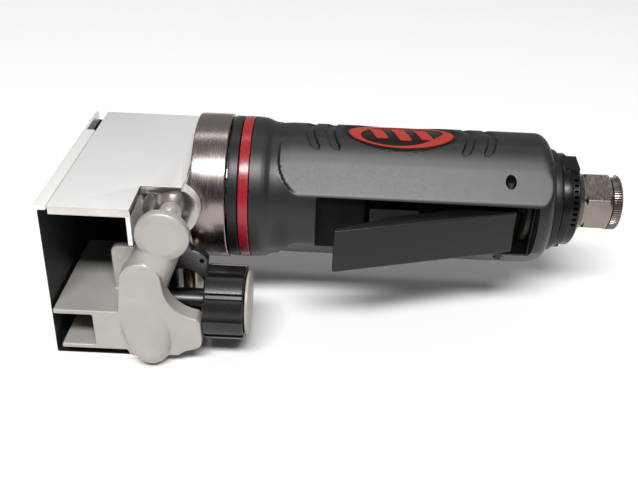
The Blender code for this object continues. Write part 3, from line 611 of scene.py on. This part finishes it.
def make_guide():
    right = 5.2
    body = put("guide_body", extruded(slab_outline(), "Y", GUIDE_FRONT, SLAB_BACK))
    front = GUIDE_FRONT + 0.02
    rib = [(-0.8, UPPER_TOP - 0.5)] + arc(1.4, -7.4, 2.2, 180, 90, 12)
    rib += [(12.0, -5.2), (12.0, UPPER_TOP - 0.5)]
    shapes = [
        block((GUIDE_LEFT, front, UPPER_TOP - UPPER_THICK), (right, GUIDE_BACK, UPPER_TOP)),
        block((GUIDE_LEFT + 1.0, front, LOWER_TOP - LOWER_THICK), (right, GUIDE_BACK, LOWER_TOP)),
        block((-5.0, GUIDE_FRONT + 0.04, LOWER_TOP - 0.7), (right - 0.1, -36.0, UPPER_TOP - 0.7)),
        extruded(rib, "Y", -31.0, -28.2),
        tapered((17.2, -36.0, 4.0), 6.3, (10.6, -35.9, -12.0), 6.7),
        block((5.2, -38.5, -22.5), (14.6, -28.3, -9.5)),
        block((6.0, -38.5, -27.6), (15.4, -28.4, -16.8)),
        lathe([(-42.4, 0), (-42.4, 5.2), (-41.2, 7.7), (-38.6, 7.7), (-38.2, 7.2), (-38.2, 0)],
              "Y", (ROD_X, 0, ROD_Z - 0.4), 96),
        foot_shape()]
    join(body, *shapes)
    cut(body, rod("Y", (ROD_X, 0, ROD_Z), ROD_RADIUS + 0.3, -41.6, -25))
    cut(body, rod("X", (0, KNOB_Y, KNOB_Z), STUD_RADIUS + 0.3, 7.0, 30))
    melt(body, 0.28, 10)
    piece(body, "guide", "guide_casting", CAST.material, 0)
    tip = [(-41.3, 0), (-41.3, ROD_RADIUS), (-12.5, ROD_RADIUS), (-12.5, 0)]
    shaft = put("guide_shaft", lathe(soften(tip, 0.6, 4, False), "Y", (ROD_X, 0, ROD_Z), 96))
    piece(shaft, "guide", "guide_rod", ROD.material)


def make_roller():
    low, high = own_box("guide_roller")
    x, y = (low.x + high.x) / 2, (low.y + high.y) / 2
    teeth = 14
    outline = []
    for i in range(teeth):
        start = 2 * pi * i / teeth
        for share, radius in ((0.0, 4.5), (0.28, 4.5), (0.42, 5.35), (0.86, 5.35)):
            angle = start + share * 2 * pi / teeth
            outline.append((x + radius * cos(angle), y + radius * sin(angle)))
    roller = put("toothed_roller", extruded(soften(outline, 0.25, 2), "Z", low.z, high.z, 0.12))
    cut(roller, rod("Z", (x, y, 0), 1.8, -50, 0, 0, 32))
    piece(roller, "roller", "guide_roller", RUBBER.material)


def make_bracket():
    outer = [(12.6, -9.0), (12.6, -3.2), (20.0, -3.2)] + arc(21.8, -14.2, 6.6, 80, 30, 16)
    outline = outer + [(27.2, -14.6), (27.2, -30.0), (12.6, -30.0)]
    bracket = put("arched_bracket", extruded(soften(outline, 0.5, 3), "Y", -27.7, -24.9, 0.3, 3))
    window = [(17.6, -28.0), (17.6, -14.4), (22.4, -14.4)]
    window += arc(20.2, -20.6, 6.0, 60, 10, 12) + [(26.1, -28.0)]
    cut(bracket, extruded(soften(window, 0.5, 3), "Y", -40, -10))
    cut(bracket, rod("Y", (25.6, 0, -11.2), 0.8, -40, -10, 0, 32))
    piece(bracket, "tool", "clamp_bracket", DARK_STEEL.material)
    profile = [(-29.5, 0), (-29.5, 2.2), (-18.0, 2.2), (-17.4, 1.5), (-16.4, 1.5), (-15.8, 2.2),
               (-11.0, 2.2), (-11.0, 0)]
    pin = put("lock_pin_turned", lathe(soften(profile, 0.2, 2, False), "Z", (20.6, -22.2, 0), 64))
    piece(pin, "tool", "lock_pin", BRASS.material)


LOBES = 10
LOBE_PHASE = 137.4
KNOB_RADIUS, GROOVE_DEPTH, CAP_RADIUS = 11.3, 1.25, 9.7
GROOVE_HALF, GROOVE_FLANK = 3.2, 2.0


def make_knob():
    low, high = own_box("clamp_knob")
    centre = (0, KNOB_Y, KNOB_Z)

    def grooved(along, angle, here):
        turn = (degrees(angle) - LOBE_PHASE) % (360 / LOBES)
        away = min(turn, 360 / LOBES - turn)
        across = min(max((away - GROOVE_HALF) / GROOVE_FLANK, 0), 1)
        groove = 1 - across * across * (3 - 2 * across)
        side = min(max((here - 9.2) / 1.2, 0), 1)
        return here - GROOVE_DEPTH * groove * side

    profile = [(low.x, 0), (low.x, KNOB_RADIUS), (high.x, KNOB_RADIUS), (high.x, 0)]
    profile = soften(profile, 0.7, 6, False)
    knob = put("knob_grip", lathe(profile, "X", centre, 360, grooved))
    cut(knob, rod("X", centre, STUD_RADIUS - 0.3, 0, high.x - 2.8, 0, 48))
    piece(knob, "knob", "clamp_knob", BLACK.material, 40)
    cap_low, cap_high = own_box("knob_cap")
    profile = [(cap_low.x, 0), (cap_low.x, CAP_RADIUS), (cap_high.x, CAP_RADIUS), (cap_high.x, 0)]
    cap = put("knob_end_cap", lathe(soften(profile, 0.3, 3, False), "X", centre, 96))
    piece(cap, "knob", "knob_cap", PALE.material)
    profile = [(10.4, 0), (10.4, STUD_RADIUS), (26.9, STUD_RADIUS), (26.9, STUD_RADIUS - 0.6),
               (36.2, STUD_RADIUS - 0.6), (36.2, 0)]
    stud = put("knob_shaft", lathe(soften(profile, 0.3, 3, False), "X", centre, 96))
    piece(stud, "knob", "knob_stud", BLACK_STEEL_AND_SHADE.material)
    pad = put("clamp_pad", rod("X", centre, 3.2, 8.6, 10.1, 0.2))
    piece(pad, "clamp_screw", "pressure_pad", BRASS.material)


# ---------------------------------------------------------------- nose rings


def make_nose():
    bore = 17.5
    collar = put("nose_collar", tube(COLLAR_LEFT, 32.1, 23.0, bore, 0.7, segments=200))
    piece(collar, "tool", "clamp_collar", COLLAR.material)
    spacer = put("nose_spacer", tube(32.7, 35.6, 22.5, bore, 0.35, segments=200))
    piece(spacer, "tool", "spacer_ring", SPACER.material)
    accent = put("nose_accent", tube(35.9, 38.9, 22.6, bore, 0.3, segments=200))
    piece(accent, "tool", "accent_ring", RED.material)


# ---------------------------------------------------------------- grip

GRIP_FRONT, GRIP_REAR, GRIP_RADIUS = 39.2, 131.4, 21.4
REAR_ROUND_X = 126.8
SLOT_LEFT, SLOT_RIGHT = 59.2, 126.0
SLOT_BOTTOM, SLOT_TOP = -11.4, 8.1
MOTOR_BORE_END = 72.9
PIN_X, PIN_Y = 117.3, -14.6
BUTTON_X, BUTTON_Z = 83.1, -1.8
BADGE_X, BADGE_HALF_LENGTH, BADGE_HALF_WIDTH = 84.5, 17.4, 8.2
PANEL_CORNER_X, PANEL_BOW = 59.2, 11.6
PANEL_LOW, PANEL_HIGH, PANEL_FACING, PANEL_DISTANCE = 19.0, 51.5, 45.5, 19.75
CRESCENTS = ((56.3, 1), (62.5, 1), (106.0, -1), (112.6, -1))
CRESCENT_BEND, CRESCENT_REACH, CRESCENT_HALF_WIDTH = 0.028, 7.9, 1.3
BADGE_MARGIN, SINK_DEPTH = 0.9, 0.9
MARK_LOW, MARK_HIGH = 20.5, 20.85


def blend_low(a, b, width):
    """The smaller of two lengths, with a soft change between them."""
    h = np.clip(0.5 + 0.5 * (b - a) / width, 0, 1)
    return b + (a - b) * h - width * h * (1 - h)


def smooth_step(value, start, end):
    t = np.clip((value - start) / (end - start), 0, 1)
    return t * t * (3 - 2 * t)


def grip_base(x):
    """Radius of the turned shape along the grip: a bell, a shallow neck and a round end."""
    spots = [39.2, 42.4, 43.6, 45.0, 46.4, 48.0, 49.5, 51.0, 125.0]
    radii = [22.55, 22.3, 21.95, 21.3, 21.05, 21.05, 21.2, 21.35, 21.35]
    rear = np.clip((x - REAR_ROUND_X) / (GRIP_REAR - REAR_ROUND_X + 0.05), 0, 1)
    return np.interp(x, spots, radii) - 4.6 * (1 - np.sqrt(1 - rear ** 2))


def grip_radius(x, rise):
    """Radius at a place along the grip and an angle above the lever side, in degrees.

    A flat panel above the lever and its mirror images are cut from the round body,
    and the badge and the finger crescents are sunk into its top.
    """
    height = np.abs((rise + 180) % 360 - 180)
    height = np.minimum(height, 180 - height)
    share = np.clip((PANEL_HIGH - height) / (PANEL_HIGH - PANEL_LOW), 0, 1)
    front_edge = PANEL_CORNER_X - PANEL_BOW * np.sqrt(1 - share ** 2)
    flat = PANEL_DISTANCE / np.maximum(np.cos(np.radians(height - PANEL_FACING)), 0.3)
    base = grip_base(x)
    inside = smooth_step(x, front_edge - 0.3, front_edge + 0.3)
    softness = 0.3 + 1.5 * smooth_step(height, PANEL_FACING - 8, PANEL_FACING + 12)
    radius = base + (blend_low(base, flat, softness) - base) * inside
    across = np.radians((rise - 90 + 180) % 360 - 180) * GRIP_RADIUS
    oval = np.sqrt(((x - BADGE_X) / (BADGE_HALF_LENGTH + BADGE_MARGIN)) ** 2
                   + (across / (BADGE_HALF_WIDTH + BADGE_MARGIN)) ** 2)
    radius = radius - SINK_DEPTH * (1 - smooth_step(oval, 0.96, 1.0))
    for start, side in CRESCENTS:
        middle = start + side * CRESCENT_BEND * across ** 2
        beyond = np.maximum(np.abs(across) - CRESCENT_REACH, 0)
        away = np.sqrt((x - middle) ** 2 + beyond ** 2)
        rim = smooth_step(away, CRESCENT_HALF_WIDTH - 0.18, CRESCENT_HALF_WIDTH + 0.18)
        radius = radius - SINK_DEPTH * (1 - rim)
    return radius


def make_grip():
    around = 336
    # The rings stand closer together where the surface has more detail.
    stretches = ((GRIP_FRONT, 44.0, 14), (44.0, 67.0, 66), (67.0, 101.5, 78), (101.5, 115.0, 40),
                 (115.0, REAR_ROUND_X, 20))
    places = [np.linspace(start, end, count, endpoint=False) for start, end, count in stretches]
    rear = np.sin(np.linspace(0, pi / 2, 16))
    places = np.concatenate(places + [REAR_ROUND_X + (GRIP_REAR - REAR_ROUND_X) * rear])
    angles = np.arange(around) * 2 * pi / around
    rise = np.degrees(pi - angles)
    grid_x, grid_rise = np.meshgrid(places, rise, indexing="ij")
    radius = grip_radius(grid_x, grid_rise)
    bm = bmesh.new()
    loops = []
    for x, ring in zip(places, radius):
        loops.append([bm.verts.new((x, ring[k] * cos(angles[k]), ring[k] * sin(angles[k])))
                      for k in range(around)])
    for first, second in zip(loops, loops[1:]):
        for k in range(around):
            j = (k + 1) % around
            bm.faces.new((first[k], first[j], second[j], second[k]))
    bm.faces.new(loops[0])
    bm.faces.new(loops[-1])
    bmesh.ops.recalc_face_normals(bm, faces=bm.faces)
    grip = put("grip_shell", bm)
    cut(grip, rod("X", (0, 0, 0), 17.3, 30, MOTOR_BORE_END, 0, 96))
    slot = [(SLOT_LEFT, SLOT_BOTTOM - 1), (SLOT_RIGHT, SLOT_BOTTOM - 3.8),
            (SLOT_RIGHT, SLOT_TOP - 0.5), (SLOT_LEFT, SLOT_TOP)]
    cut(grip, extruded(soften(slot, 0.5, 4), "Y", -40, -17.5))
    # Behind the motor the slot goes deeper, in three steps.
    left, bottom, top = MOTOR_BORE_END + 1.1, SLOT_BOTTOM + 0.4, SLOT_TOP - 0.5
    slot[0] = (left, SLOT_BOTTOM - 1.6)
    slot[3] = (left, SLOT_TOP - 0.15)
    cut(grip, extruded(soften(slot, 0.5, 4), "Y", -40, -16.45))
    cut(grip, block((left, -18.2, bottom), (SLOT_RIGHT - 0.5, -9.0, top)))
    cut(grip, block((left, -10.0, bottom), (99.0, -5.6, top)))
    cut(grip, rod("Z", (PIN_X, PIN_Y, 0), 1.65, -14.0, 30, 0, 40))
    cut(grip, rod("X", (0, 0, 0), 8.3, 100, 140, 0, 64))
    cut(grip, rod("X", (0, 0, 0), 14.2, 124.0, 140, 0, 96))
    cut(grip, rod("Y", (BUTTON_X, 0, BUTTON_Z), 4.2, -10, 10.0, 0, 32))
    cut(grip, rod("X", (0, 4.0, BUTTON_Z), 1.8, 60, 110, 0, 24))

    # Index 1 paints the slot's inner faces blacker and duller: painted shade of the slot.
    def surface(centre, normal):
        in_length = SLOT_LEFT - 0.1 < centre.x < SLOT_RIGHT + 0.1
        in_slot = in_length and centre.y < -5.5 and abs(centre.z) < 16
        depth_limit = 19.2 + 0.9 * (abs(normal.x) > 0.9)
        return 1 if in_slot and Vector((centre.y, centre.z)).length < depth_limit else 0

    made = piece(grip, "tool", "grip_housing", [GRIP.material, GRIP_SLOT_SHADE.material], 32)
    sort_faces(made, surface)


def curved_plate(rows, low, high):
    """A closed shape between two radii of the grip's top, from rows of (x, across) points."""
    bm = bmesh.new()
    layers = []
    for radius in (low, high):
        layer = []
        for row in rows:
            turns = [(x, across / GRIP_RADIUS) for x, across in row]
            layer.append([bm.verts.new((x, radius * sin(a), radius * cos(a))) for x, a in turns])
        layers.append(layer)
    rim = []
    for layer in layers:
        for first, second in zip(layer, layer[1:]):
            for i in range(len(first) - 1):
                bm.faces.new((first[i], first[i + 1], second[i + 1], second[i]))
        right, left = [row[-1] for row in layer], [row[0] for row in layer]
        rim.append(right + layer[-1][-2::-1] + left[-2::-1] + layer[0][1:-1])
    for i in range(len(rim[0])):
        j = (i + 1) % len(rim[0])
        bm.faces.new((rim[0][i], rim[0][j], rim[1][j], rim[1][i]))
    bmesh.ops.recalc_face_normals(bm, faces=bm.faces)
    return bm


def make_badge():
    """A dark oval plate, a red rim that swells to two sides, and three plain slanted bars."""
    rows = []
    for k in range(25):
        share = -cos(pi * (k + 0.5) / 25)
        reach = BADGE_HALF_LENGTH * 0.99 * sqrt(1 - share ** 2)
        across = BADGE_HALF_WIDTH * 0.99 * share
        rows.append([(BADGE_X + reach * t / 16, across) for t in range(-16, 17)])
    plate = put("badge_field", curved_plate(rows, 20.35, 20.55))
    piece(plate, "tool", "badge_plate", GLOSS.material)
    count = 128

    def rim_width(angle):
        right = 0.2 * max(0.0, cos(angle - 0.5)) ** 3
        left = 0.2 * max(0.0, -cos(angle - 0.35)) ** 3
        return 0.075 + right + left

    bm = bmesh.new()
    rings = []
    for outer, radius in ((1, MARK_LOW), (1, MARK_HIGH), (0, MARK_HIGH), (0, MARK_LOW)):
        ring = []
        for i in range(count):
            angle = 2 * pi * i / count
            shrink = 0.93 if outer else 0.93 - rim_width(angle)
            across = -BADGE_HALF_WIDTH * shrink * sin(angle) / GRIP_RADIUS
            x = BADGE_X + BADGE_HALF_LENGTH * shrink * cos(angle)
            ring.append(bm.verts.new((x, radius * sin(across), radius * cos(across))))
        rings.append(ring)
    for k in range(4):
        for i in range(count):
            j = (i + 1) % count
            first, second = rings[k], rings[(k + 1) % 4]
            bm.faces.new((first[i], first[j], second[j], second[i]))
    bmesh.ops.recalc_face_normals(bm, faces=bm.faces)
    shapes = [("badge_rim", bm)]
    for i, (x, half_height) in enumerate(((77.6, 3.2), (84.5, 4.0), (91.4, 3.2))):
        rows = []
        for k in range(11):
            across = -half_height + 2 * half_height * k / 10
            half_width = 1.9 if 0 < k < 10 else 1.6
            middle = x - 0.35 * across
            rows.append([(middle - half_width + 2 * half_width * t / 4, across) for t in range(5)])
        shapes.append((f"badge_bar_{i + 1}", curved_plate(rows, MARK_LOW, MARK_HIGH)))
    for name, bm in shapes:
        mark = put(name, bm)
        mark.data.materials.append(BADGE_RED.material)
        shade(mark)
        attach(mark, "tool")


# ---------------------------------------------------------------- throttle

LEVER_TIP_X, LEVER_TIP_Y = 64.8, -34.0
LEVER_END_X, LEVER_END_Y = 120.0, -18.4
LEVER_BOTTOM, LEVER_TOP = -9.1, 5.1


def lever_edge(x, depth=0.0):
    """Y of the lever's outer face at x, or of a place that depth further in."""
    share = (x - LEVER_TIP_X) / (LEVER_END_X - LEVER_TIP_X)
    return LEVER_TIP_Y + share * (LEVER_END_Y - LEVER_TIP_Y) + depth


def make_throttle():
    side = [(LEVER_TIP_X, lever_edge(LEVER_TIP_X)), (LEVER_END_X, lever_edge(LEVER_END_X)),
            (120.6, -16.5), (PIN_X + 3.0, PIN_Y + 1.8), (PIN_X, PIN_Y + 3.4)]
    inner = ((110.0, 6.0), (92.0, 5.6), (83.0, 5.5), (74.0, 3.6), (LEVER_TIP_X, 2.0))
    side += [(x, lever_edge(x, depth)) for x, depth in inner]
    lever = put("lever_channel", extruded(soften(side, 1.2, 6), "Z", LEVER_BOTTOM, LEVER_TOP))
    round_edges(lever, 0.7, 40, 4)
    corners = ((66.6, 1.9), (108.0, 1.9), (108.0, 20), (66.6, 20))
    room = [(x, lever_edge(x, depth)) for x, depth in corners]
    cut(lever, extruded(room, "Z", LEVER_BOTTOM + 1.6, LEVER_TOP - 1.6))
    pad = [(80.0, lever_edge(80, 1.0)), (86.0, lever_edge(86, 1.0)), (85.4, -17.6), (80.8, -17.6)]
    join(lever, extruded(soften(pad, 0.5), "Z", -5.5, -1.0, 0.4))
    cut(lever, rod("Z", (PIN_X, PIN_Y, 0), 1.8, -30, 30, 0, 40))
    piece(lever, "lever", "throttle_lever", LEVER.material, 35)
    button = put("throttle_block", block((75.6, -16.9, -6.6), (90.6, -14.2, 3.0), 0.3, 0.4))
    join(button, rod("Y", (BUTTON_X, 0, BUTTON_Z), 2.2, -15.0, 1.0, 0.2, 48))
    # The button's near-black colour is painted shade of the slot.
    piece(button, "button", "throttle_button", BUTTON.material)


# ---------------------------------------------------------------- inlet end

EXHAUST_LEFT, EXHAUST_RIGHT, EXHAUST_RADIUS = 134.6, 140.4, 15.2
HEX_LEFT, HEX_RIGHT, HEX_FLATS = 142.8, 152.0, 17.0
END_RADIUS, END_X = 8.8, 155.2


def radial_bar(turn, half, inner, outer, low, high):
    outline = []
    for radial, across in ((inner, -half), (outer, -half), (outer, half), (inner, half)):
        outline.append((radial * cos(turn) - across * sin(turn),
                        radial * sin(turn) + across * cos(turn)))
    return extruded(outline, "X", low, high)


def make_inlet():
    seal = put("rear_flange", tube(131.7, 134.2, 16.3, 8.6, 0.6, segments=160))
    piece(seal, "tool", "rear_seal", RUBBER.material)
    band = EXHAUST_RADIUS - 0.9
    profile = [(EXHAUST_LEFT, 8.6), (EXHAUST_LEFT, EXHAUST_RADIUS),
               (EXHAUST_LEFT + 2.6, EXHAUST_RADIUS), (EXHAUST_LEFT + 2.9, band),
               (EXHAUST_RIGHT - 0.6, band), (EXHAUST_RIGHT, band - 0.6), (EXHAUST_RIGHT, 8.6)]
    ring = put("swivel_deflector", lathe(soften(profile, 0.25, 3), "X", (0, 0, 0), 160))
    join(ring, radial_bar(radians(100), 3.4, 11.0, EXHAUST_RADIUS - 0.1,
                          EXHAUST_LEFT + 1, EXHAUST_RIGHT - 0.4))
    for i in range(27):
        turn = radians(-4 + 7.2 * i)
        if not 10 <= i <= 17:
            cut(ring, radial_bar(turn, 0.42, 12.4, 20.0, EXHAUST_LEFT + 3.4, EXHAUST_RIGHT - 1.0))
    for i in range(5):
        turn = radians(222 + 24 * i)
        cut(ring, radial_bar(turn, 2.2, 14.4, 20.0, EXHAUST_LEFT + 1.4, EXHAUST_RIGHT + 1))
    piece(ring, "deflector", "exhaust_deflector", GLOSS.material)
    profile = [(104.0, 0), (104.0, 8.0), (131.6, 8.0), (131.6, 8.2), (EXHAUST_RIGHT + 0.3, 8.2),
               (EXHAUST_RIGHT + 0.3, 12.2), (HEX_LEFT - 0.6, 10.2), (HEX_LEFT, 9.6),
               (HEX_LEFT, 6.6), (END_X - 0.2, 6.6), (END_X - 0.2, 0)]
    bushing = put("inlet_hexagon", lathe(soften(profile, 0.25, 3, False), "X", (0, 0, 0), 128))
    corner = HEX_FLATS / sqrt(3)
    turns = [pi * k / 3 + pi / 6 for k in range(6)]
    hexagon = [(corner * cos(turn), corner * sin(turn)) for turn in turns]
    nut = put("nut", extruded(soften(hexagon, 0.35, 4), "X", HEX_LEFT - 0.5, HEX_RIGHT))
    # Turned chamfers on the corners of the hexagon's two ends.
    for start, start_radius, end, end_radius in ((HEX_LEFT - 3, 11.2, HEX_LEFT + 1.3, 9.0),
                                                 (HEX_RIGHT - 1.3, 9.4, HEX_RIGHT + 3, 7.0)):
        profile = [(start, 30), (start, start_radius), (end, end_radius), (end, 30)]
        cut(nut, lathe(profile, "X", (0, 0, 0), 96))
    join(bushing, taken(nut))
    cut(bushing, rod("X", (0, 0, 0), 5.4, 90, 170, 0, 64))
    piece(bushing, "tool", "inlet_bushing", HEXAGON.material)
    teeth = 72
    outline = []
    for i in range(teeth):
        for share, radius in ((0.0, END_RADIUS - 0.4), (0.3, END_RADIUS), (0.7, END_RADIUS)):
            angle = 2 * pi * (i + share) / teeth
            outline.append((radius * cos(angle), radius * sin(angle)))
    end = put("knurled_end", extruded(outline, "X", HEX_RIGHT + 0.3, END_X, 0.25))
    cut(end, rod("X", (0, 0, 0), 6.9, 140, 170, 0, 64))
    piece(end, "tool", "knurled_ring", HEXAGON.material, 40)


def finish_inner_parts():
    """Pieces whose CAD shape already is the real one."""
    looks = {
        STEEL: ["front_housing", "front_bearing", "front_plate", "cylinder_liner", "rear_plate",
                "rear_bearing", "rotor", "drum_arbor", "drum_washer", "roller_pin", "valve_spring"],
        # The lever pin's near-black colour is painted shade of the hole it sits in.
        BLACK_STEEL_AND_SHADE: ["drum_screw", "lever_pin"],
        # The muffler ring's dark colour is painted shade of the slot it is seen through.
        GRIT_AND_SHADE: ["abrasive_drum", "muffler_ring"],
        BRASS: ["inlet_screen"],
        LAMINATE: [f"rotor_vane_{i + 1}" for i in range(4)],
    }
    for finish, names in looks.items():
        for name in names:
            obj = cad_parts[name]
            obj.data.materials.clear()
            obj.data.materials.append(finish.material)


# ---------------------------------------------------------------- studio


CAMERA_AZIMUTH, CAMERA_ELEVATION, CAMERA_ROLL = 0.18, 32.05, 2.47
CAMERA_AIM, CAMERA_DISTANCE = Vector((61.88, 0, -17.27)), 262.31
FLOOR_HALF_SIDE, FLOOR_GAP = 3.0, 0.0002
LAMP_DISTANCE, LAMP_AIM = 2.0, Vector((0.0, 0.0, 0.03))
# Name, degrees above the floor in front, width and height in metres, and watts.
LAMPS = (("key", 56.5, (1.5, 0.33), 60.0), ("back", 111.0, (2.0, 0.2), 4.6))
# Brightness of the room round the X axis: 0 degrees is the front, 90 overhead, 180 the back.
ROOM = ((0.0, 0.02), (40, 0.02), (50, 0.07), (56, 0.2), (100, 0.22), (112, 0.28), (140, 0.36),
        (180, 0.36))


def make_camera():
    azimuth, elevation = radians(CAMERA_AZIMUTH), radians(CAMERA_ELEVATION)
    roll = radians(CAMERA_ROLL)
    back = Vector((sin(azimuth) * cos(elevation), -cos(azimuth) * cos(elevation), sin(elevation)))
    right = (-back).cross(Vector((0, 0, 1))).normalized()
    up = right.cross(-back)
    turned_right = right * cos(roll) + up * sin(roll)
    turned_up = up * cos(roll) - right * sin(roll)
    camera = bpy.data.objects.new("camera", bpy.data.cameras.new("camera"))
    scene.collection.objects.link(camera)
    place = ORIGIN + (CAMERA_AIM + back * CAMERA_DISTANCE) * MM
    turn = Matrix((turned_right, turned_up, back)).transposed()
    camera.matrix_world = Matrix.Translation(place) @ turn.to_4x4()
    camera.data.sensor_width = 36
    camera.data.lens = 44.06
    camera.data.shift_x = -0.0074
    camera.data.shift_y = -0.0092
    camera.data.clip_start = 0.01
    scene.camera = camera


def area_light(name, place, target, size, power):
    data = bpy.data.lights.new(name, "AREA")
    data.shape = "RECTANGLE"
    data.size, data.size_y = size
    data.energy = power
    obj = bpy.data.objects.new(name, data)
    scene.collection.objects.link(obj)
    obj.location = place
    obj.rotation_mode = "QUATERNION"
    obj.rotation_quaternion = (Vector(target) - Vector(place)).to_track_quat("-Z", "Y")


def make_floor():
    bm = bmesh.new()
    bmesh.ops.create_grid(bm, x_segments=2, y_segments=2, size=FLOOR_HALF_SIDE)
    mesh = bpy.data.meshes.new("floor")
    bm.to_mesh(mesh)
    bm.free()
    floor = bpy.data.objects.new("floor", mesh)
    scene.collection.objects.link(floor)
    floor.location.z = cad_box[0].z - FLOOR_GAP
    paper = Finish("paper_floor", (0.80, 0.794, 0.784), 0.75)
    paper.rough(paper.noise(3.0), 0.7, 0.8)
    floor.data.materials.append(paper.material)


def make_studio():
    """Two long lamps, a room that is dark in front and paler behind, and a plain pale floor."""
    make_floor()
    world = bpy.data.worlds.new("studio")
    world.use_nodes = True
    scene.world = world
    nodes, links = world.node_tree.nodes, world.node_tree.links
    split = nodes.new("ShaderNodeSeparateXYZ")
    links.new(nodes.new("ShaderNodeTexCoord").outputs["Generated"], split.inputs["Vector"])
    depth = nodes.new("ShaderNodeMath")
    depth.operation = "MULTIPLY"
    depth.inputs[1].default_value = -1
    links.new(split.outputs["Y"], depth.inputs[0])
    climb = nodes.new("ShaderNodeMath")
    climb.operation = "ARCTAN2"
    links.new(split.outputs["Z"], climb.inputs[0])
    links.new(depth.outputs["Value"], climb.inputs[1])
    ramp = nodes.new("ShaderNodeValToRGB")
    share = nodes.new("ShaderNodeMapRange")
    share.inputs["From Max"].default_value = pi
    links.new(climb.outputs["Value"], share.inputs["Value"])
    links.new(share.outputs["Result"], ramp.inputs["Fac"])
    elements = ramp.color_ramp.elements
    elements[0].color = (*[ROOM[0][1]] * 3, 1)
    elements[1].position = 1
    elements[1].color = (*[ROOM[-1][1]] * 3, 1)
    for angle, level in ROOM[1:-1]:
        elements.new(angle / 180).color = (level, level * 0.985, level * 0.965, 1)
    links.new(ramp.outputs["Color"], nodes["Background"].inputs["Color"])
    nodes["Background"].inputs["Strength"].default_value = 1.0
    for name, degrees_up, size, power in LAMPS:
        direction = Vector((0, -cos(radians(degrees_up)), sin(radians(degrees_up))))
        area_light(name, LAMP_AIM + direction * LAMP_DISTANCE, LAMP_AIM, size, power)
    scene.view_settings.view_transform = "Standard"
    scene.view_settings.look = "None"


make_camera()
make_studio()
make_head_frame()
make_cover()
make_guide()
make_roller()
make_bracket()
make_knob()
make_nose()
make_grip()
make_badge()
make_throttle()
make_inlet()
finish_inner_parts()
